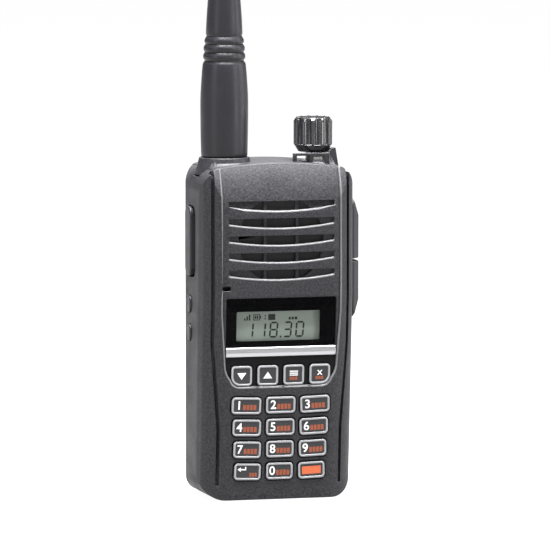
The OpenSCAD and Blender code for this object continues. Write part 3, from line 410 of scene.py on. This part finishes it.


# slopes the edges that catch the light and gives the slopes a painted highlight, then gives the floor between
# the keys a painted shade
def brightEdges(bm):
    c = caseSet
    chosen = []
    for edge in outwardEdges(bm, sharpEdge):
        middle = (edge.verts[0].co + edge.verts[1].co) / 2 / mm
        if middle.y < c["foremost"]:
            deep = middle.y - faceY(middle.x, middle.z)
            lip = within(deep, c["recess"]) and onSlotLip(middle.x, middle.z)
            if lip or onPanelRim(middle.x, middle.z, deep):
                chosen.append(edge)
    print("front edges sloped:", len(chosen))
    # the sloped faces take slot 1, the painted highlight
    bmesh.ops.bevel(bm, geom=chosen, offset=c["rim"] * mm, segments=2, profile=0.5, affect="EDGES",
                    clamp_overlap=False, material=1)
    floor = [face for face in bm.faces
             if face.normal.y < c["facing"] and face.calc_center_median().y < c["foremost"] * mm]
    geometry = set(floor)
    for face in floor:
        geometry.update(face.edges)
        geometry.update(face.verts)
    cut = inMetres(0, 0, c["keyShadowTop"])
    bmesh.ops.bisect_plane(bm, geom=list(geometry), plane_co=cut, plane_no=(0, 0, 1))
    for face in bm.faces:
        middle = face.calc_center_median() / mm
        if face.normal.y < c["facing"] and within(middle.z, (c["panelLow"], c["keyShadowTop"])):
            deep = middle.y - faceY(middle.x, middle.z)
            if abs(middle.x) < c["keyShadowHalf"] and within(deep, c["recessFloor"]):
                face.material_index = 2


frontCase = softened("front_case", "frontCase", caseSet["edge"], flat=0.025, first=brightEdges)
# slot 1 holds the painted highlight of the sloped rims, slot 2 the painted shade of the floor between the keys
frontCase.data.materials.append(rimPaintedHighlight)
frontCase.data.materials.append(shadowPlastic)

caseEdges = {  # each: piece, rounding
    "top_cover": ("topCover", 0.18),
    "rear_chassis": ("rearChassis", 0.14),
    "battery_case": ("batteryCase", 0.2),
    "ledge_trim": ("ledgeTrim", 0.2),
    "status_lens": ("statusLens", 0.12),
}
for node, (name, width) in caseEdges.items():
    softened(node, name, width)
print("casework softened")

# charge contacts, clip holes and latch spring

packSet = {
    "contactX": 9, "contactZ": 8, "contactSize": (3.6, 2.8), "contactCorner": 0.5,
    "pocketFloor": 16.55,
    "contactProfile": ((0, -0.02), (0, 0.2), (0.12, 0.3)),  # each: inset, height above the pocket's floor
    "holeX": 13, "holeZ": 84, "holeR": 1.25,
    "rimProfile": ((0.02, 17.2), (0.02, 17.36), (0.45, 17.36), (0.45, 17.2)),  # each: step out, y
    "rimAround": 48,
}


def chargeContact(side, name):
    s = packSet
    width, height = s["contactSize"]
    loops = []
    for inset, up in s["contactProfile"]:
        outline = roundedOutline(width - 2 * inset, height - 2 * inset, [s["contactCorner"] - inset] * 4)
        y = s["pocketFloor"] + up
        loops.append([inMetres(side * s["contactX"] + x, y, s["contactZ"] + z) for x, z in outline])
    mesh = intoMesh(skinned(loops), name, Matrix.Identity(4))
    finishPiece(mesh, name, finishes["brass_plate"], "radio")


def clipRim(side, name):
    s = packSet
    turns = [2 * math.pi * i / s["rimAround"] for i in range(s["rimAround"])]
    loops = []
    for step, y in s["rimProfile"]:
        r = s["holeR"] + step
        x = side * s["holeX"]
        loops.append([inMetres(x + r * math.cos(a), y, s["holeZ"] + r * math.sin(a)) for a in turns])
    mesh = intoMesh(skinned(loops, closed=True), name, Matrix.Identity(4))
    finishPiece(mesh, name, finishes["steel"], "radio")


for side, hand in ((-1, "Left"), (1, "Right")):
    chargeContact(side, "chargeContact" + hand)
    clipRim(side, "clipRim" + hand)

# a smooth-shaded copy of the latch spring in place of its node; the real spring closes up as the latch comes
# down, which this copy does not do
coil = bpy.data.objects.new("latchCoil", nodes["latch_spring"].data.copy())
scene.collection.objects.link(coil)
coil.data.polygons.foreach_set("use_smooth", [True] * len(coil.data.polygons))
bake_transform(coil)
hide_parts("latch_spring")
print("pack details made")

# display

displaySet = {
    "lcdDepth": 3.57,  # front of the display below the face
    "viewX": -0.8,
    "viewZ": -10.4,
    "digitHeight": 5.3,
    "digitWidth": 2.9,
    "stroke": 0.56,
    "slant": 0.07,
    "pitch": 4.15,
    "baseZ": -4.2,  # foot of the digits, from the middle of the view
    "startX": -11.0,
    "shown": "118.30",
    "dot": 0.6, "dotBack": 0.45,
    "signsX": -11.2, "signsZ": 1.7,
    "signs": (  # x0, x1, z0, z1 of the signal bars, a battery outline and blocks
        (0, 0.5, 0, 0.8), (0.8, 1.3, 0, 1.4), (1.6, 2.1, 0, 2.0), (3.1, 5.4, 1.75, 2.0), (3.1, 5.4, 0, 0.25),
        (3.1, 3.35, 0.25, 1.75), (5.15, 5.4, 0.25, 1.75), (5.4, 5.75, 0.6, 1.4), (3.6, 4.1, 0.5, 1.5),
        (4.3, 4.8, 0.5, 1.5), (7.0, 7.4, 0.2, 0.8), (7.0, 7.4, 1.2, 1.8), (8.2, 10.6, 0, 2.0),
        (15.2, 15.9, 0, 0.9), (16.2, 16.9, 0, 0.9), (17.2, 18.1, 0, 0.9),
    ),
}
segmentsOf = {
    "0": "abcdef", "1": "bc", "2": "abged", "3": "abgcd", "4": "fgbc",
    "5": "afgcd", "6": "afgecd", "7": "abc", "8": "abcdefg", "9": "abcfgd",
}


def barPrism(bm, corners, y0, y1):
    low = [bm.verts.new(inMetres(x, y0, z)) for x, z in corners]
    high = [bm.verts.new(inMetres(x, y1, z)) for x, z in corners]
    n = len(corners)
    bm.faces.new(low)
    bm.faces.new(list(reversed(high)))
    for i in range(n):
        j = (i + 1) % n
        bm.faces.new((low[i], high[i], high[j], low[j]))


def flatMarks(shapes, y0, y1):
    bm = bmesh.new()
    for corners in shapes:
        barPrism(bm, corners, y0, y1)
    bmesh.ops.recalc_face_normals(bm, faces=bm.faces)
    return bm


def rectangle(x0, z0, x1, z1):
    return [(x0, z0), (x1, z0), (x1, z1), (x0, z1)]


def segmentCorners(kind, width, height, stroke):
    gap, half, mid = stroke * 0.2, stroke / 2, height / 2
    if kind in "agd":
        z = {"a": height - half, "g": mid, "d": half}[kind]
        x0, x1 = half + gap, width - half - gap
        return [(x0, z), (x0 + half, z + half), (x1 - half, z + half),
                (x1, z), (x1 - half, z - half), (x0 + half, z - half)]
    x = half if kind in "ef" else width - half
    z0, z1 = (mid + gap, height - half - gap) if kind in "bf" else (half + gap, mid - gap)
    return [(x, z0), (x + half, z0 + half), (x + half, z1 - half),
            (x, z1), (x - half, z1 - half), (x - half, z0 + half)]


def displayMarks():
    s = displaySet
    shapes = []
    x = s["viewX"] + s["startX"]
    foot = s["viewZ"] + s["baseZ"]
    for sign in s["shown"]:
        if sign == ".":
            start = x - s["dotBack"]
            shapes.append(rectangle(start, foot, start + s["dot"], foot + s["dot"]))
            x += s["dot"]
            continue
        for kind in segmentsOf[sign]:
            corners = segmentCorners(kind, s["digitWidth"], s["digitHeight"], s["stroke"])
            shapes.append([(x + cx + cz * s["slant"], foot + cz) for cx, cz in corners])
        x += s["pitch"]
    left, low = s["viewX"] + s["signsX"], s["viewZ"] + s["signsZ"]
    for x0, x1, z0, z1 in s["signs"]:
        shapes.append(rectangle(left + x0, low + z0, left + x1, low + z1))
    mesh = intoMesh(flatMarks(shapes, s["lcdDepth"] - 0.06, s["lcdDepth"] + 0.01), "displayMarks", facePlace)
    finishPiece(mesh, "displayMarks", segmentInk, "radio", smooth=False)


displayMarks()
print("display marked")

# keys

keySet = {
    "band": 0.68,  # width of the bright outline
    "proud": 0.16,  # how far the outline stands above the key
    "cornerR": 1.2,
    "bigCornerR": 3.0,
    "fnWidth": 7, "fnHeight": 6.6, "fnTop": 0.35, "fnZ": -26.6, "fnPitch": 8.867,
    "numWidth": 10, "numTaper": 0.33, "numHeight": 5.5, "numTop": -0.35, "numZ": -36.5,
    "numPitchZ": 7.38, "numPitchX": 11.66, "numPitchTaper": 0.25, "tilt": 2,
    "edge": 0.12,
    "digit": 2.95, "digitX": -2.5, "digitThick": 0.05, "digitBold": 0.055,
    "fontShare": 1.37,  # size of the type over the height of its digits
    "markOut": 0.05, "markIn": 0.02,  # marks stand this far out of the key, and reach this far into it
}
numberRows = (("key_1", "key_2", "key_3"), ("key_4", "key_5", "key_6"), ("key_7", "key_8", "key_9"),
              ("key_enter", "key_0", "key_function"))
functionRow = ("key_down", "key_up", "key_recall", "key_clear")


def outlineBand(width, height, radii, top):
    s = keySet
    profile = ((0.0, 0.05), (0.0, -0.06), (0.05, -0.12), (0.16, -s["proud"]), (s["band"] - 0.16, -s["proud"]),
               (s["band"] - 0.05, -0.12), (s["band"], -0.04), (s["band"], 0.05))
    loops = []
    for inset, rise in profile:
        outline = roundedOutline(width - 2 * inset, height - 2 * inset, [max(r - inset, 0.15) for r in radii])
        loops.append([inMetres(x, top + rise, z) for x, z in outline])
    return skinned(loops, closed=True)


def digitMesh(sign):
    s = keySet
    curve = bpy.data.curves.new("digit" + sign, "FONT")
    curve.body = sign
    curve.size = s["digit"] * s["fontShare"] * mm
    curve.offset = s["digitBold"] * mm
    curve.extrude = s["digitThick"] * mm
    curve.align_x, curve.align_y = "CENTER", "CENTER"
    holder = bpy.data.objects.new("digitHolder", curve)
    scene.collection.objects.link(holder)
    bpy.context.view_layer.update()
    mesh = bpy.data.meshes.new_from_object(holder.evaluated_get(bpy.context.evaluated_depsgraph_get()))
    bpy.data.objects.remove(holder)
    bpy.data.curves.remove(curve)
    return mesh


# a row of plain blocks in place of lettering
def wordBlocks(x0, z0, x1, z1, count):
    step = (x1 - x0) / count
    return [rectangle(x0 + i * step, z0, x0 + (i + 0.78) * step, z1) for i in range(count)]


# marks of the keys that have no digit
arrowDown = [[(-1.5, 1.0), (0, -1.2), (1.5, 1.0)]]
arrowUp = [[(-1.5, -1.0), (1.5, -1.0), (0, 1.2)]]
recallMark = [rectangle(-1.4, z, 1.4, z + 0.3) for z in (1.0, 0.35, -0.3)]
clearMark = [
    [(-0.9, -0.3), (-0.5, -0.3), (0.9, 1.3), (0.5, 1.3)],
    [(-0.9, 1.3), (-0.5, 1.3), (0.9, -0.3), (0.5, -0.3)],
]
enterMark = [
    [(-3.4, 0.75), (-2.3, 1.5), (-2.3, 0.0)],
    rectangle(-2.35, 0.55, -0.5, 0.95),
    rectangle(-0.9, 0.95, -0.5, 1.7),
]
functionBlocks = wordBlocks(-1.4, -1.75, 1.4, -0.7, 3)
numberBlocks = wordBlocks(-1.15, -1.35, 3.6, 0.35, 4)
functionMarks = {
    "key_down": {"White": arrowDown},
    "key_up": {"White": arrowUp},
    "key_recall": {"White": recallMark, "Orange": functionBlocks},
    "key_clear": {"White": clearMark, "Orange": functionBlocks},
}
numberMarks = {
    "key_enter": {"White": enterMark, "Orange": wordBlocks(0.7, -1.6, 3.4, -0.3, 3)},
    "key_function": {"Patch": [rectangle(-3.2, -1.3, 3.2, 1.3)]},
}
inks = {"White": legendWhite, "Orange": legendOrange, "Patch": patchOrange}


def keyPieces(node, width, height, radii, place, top, marks):
    s = keySet
    body = bodyOf[node]
    softened(node, node.replace("key_", "key") + "Cap", s["edge"])
    band = intoMesh(outlineBand(width, height, radii, top), node + "Band", place)
    finishPiece(band, node + "Band", outlineGrey, body)
    for tag, shapes in marks.items():
        mesh = intoMesh(flatMarks(shapes, top - s["markOut"], top + s["markIn"]), node + tag, place)
        finishPiece(mesh, node + tag, inks[tag], body, smooth=False)
    if node[-1].isdigit():
        mesh = digitMesh(node[-1])
        upright = Matrix.Rotation(math.radians(90), 4, "X")
        mesh.transform(place @ Matrix.Translation(inMetres(s["digitX"], top, 0)) @ upright)
        finishPiece(mesh, node + "Digit", legendWhite, body, smooth=False)


def placeKeys():
    s = keySet
    for i, node in enumerate(functionRow):
        radii = [s["cornerR"]] * 4
        if i == 0:
            radii[2] = s["bigCornerR"]
        if i == 3:
            radii[3] = s["bigCornerR"]
        place = facePlace @ Matrix.Translation(inMetres((i - 1.5) * s["fnPitch"], 0, s["fnZ"]))
        keyPieces(node, s["fnWidth"], s["fnHeight"], radii, place, s["fnTop"], functionMarks[node])
    for row, names in enumerate(numberRows):
        width = s["numWidth"] - row * s["numTaper"]
        for column, node in enumerate(names):
            x = (column - 1) * (s["numPitchX"] - row * s["numPitchTaper"])
            place = facePlace @ Matrix.Translation(inMetres(x, 0, s["numZ"] - row * s["numPitchZ"]))
            place = place @ Matrix.Rotation(math.radians((1 - column) * s["tilt"]), 4, "Y")
            marks = numberMarks.get(node, {"Orange": numberBlocks})
            keyPieces(node, width, s["numHeight"], [s["cornerR"]] * 4, place, s["numTop"], marks)


placeKeys()
print("keys made")

# side controls and knob

controlEdges = {  # each: piece, rounding
    "ptt_button": ("pttButton", 0.5),
    "side_key_upper": ("sideKeyUpper", 0.35),
    "side_key_lower": ("sideKeyLower", 0.35),
    "socket_cover_flap": ("socketCoverFlap", 0.2),
    "socket_cover_base": ("socketCoverBase", 0.2),
    "volume_knob": ("volumeKnob", 0.22),
}
for node, (name, width) in controlEdges.items():
    softened(node, name, width, segments=3)
print("side controls and knob softened")

# antenna

antennaSet = {
    "x": -15, "y": 1, "foot": 112.75, "radius": 7.9, "around": 96,
    # step in from the widest radius, and height above the foot
    "profile": (
        (1.2, 0), (0.75, 0.02), (0.38, 0.14), (0.25, 0.4), (0.2, 1.4), (0.12, 5), (0.05, 9), (0, 14), (0, 18),
        (0.08, 21), (0.25, 24), (0.5, 27.6), (0.78, 30.4), (0.98, 31.0), (1.4, 31.5), (1.45, 31.8), (1.25, 32.1),
        (0.98, 32.5), (0.92, 33.1), (1.02, 33.7), (1.4, 34.3), (1.52, 34.5), (1.3, 34.8), (1.12, 35.2),
        (1.08, 35.8), (1.2, 36.4), (1.65, 37.0), (1.76, 37.2), (1.55, 37.5), (1.37, 37.9), (1.4, 38.4),
        (1.62, 39.0), (2.0, 39.6), (2.1, 39.8), (1.95, 40.2), (1.86, 40.8), (1.95, 43), (2.1, 46), (2.5, 51.5),
        (2.8, 60), (3.1, 70), (3.6, 95), (4.0, 130), (4.3, 188), (4.6, 190), (5.05, 190.9), (5.6, 191.5),
        (6.4, 191.85), (7.2, 191.97),
    ),
}


def turnedSkin(name, part):
    turns = [2 * math.pi * i / part["around"] for i in range(part["around"])]
    loops = []
    for step, up in part["profile"]:
        r, z = part["radius"] - step, part["foot"] + up
        loops.append([inMetres(part["x"] + r * math.cos(a), part["y"] + r * math.sin(a), z)
                      for a in turns])
    return intoMesh(skinned(loops), name, Matrix.Identity(4), 50)


antennaSkin = turnedSkin("antennaSkin", antennaSet)
antennaSkin = finishPiece(antennaSkin, "antennaSkin", finishes["antenna_rubber"], "antenna")
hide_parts("antenna_cover")
print("antenna made")

# floor

floorSet = {"half": 12, "squares": 24, "below": 0.2, "colour": (0.07, 0.07, 0.07), "glow": 0.97}


def makeFloor():
    bm = bmesh.new()
    squares = floorSet["squares"]
    bmesh.ops.create_grid(bm, x_segments=squares, y_segments=squares, size=floorSet["half"])
    mesh = bpy.data.meshes.new("floor")
    bm.to_mesh(mesh)
    bm.free()
    floor = bpy.data.objects.new("floor", mesh)
    scene.collection.objects.link(floor)
    floor.location.z = -floorSet["below"] * mm
    mesh.materials.append(grainedFinish("paleFloor", floorSet["colour"], 0.7, 30, 0.01, 0.0, 0.02,
                                        Emission_Color=(1, 1, 1, 1), Emission_Strength=floorSet["glow"]))


makeFloor()
print("floor laid")
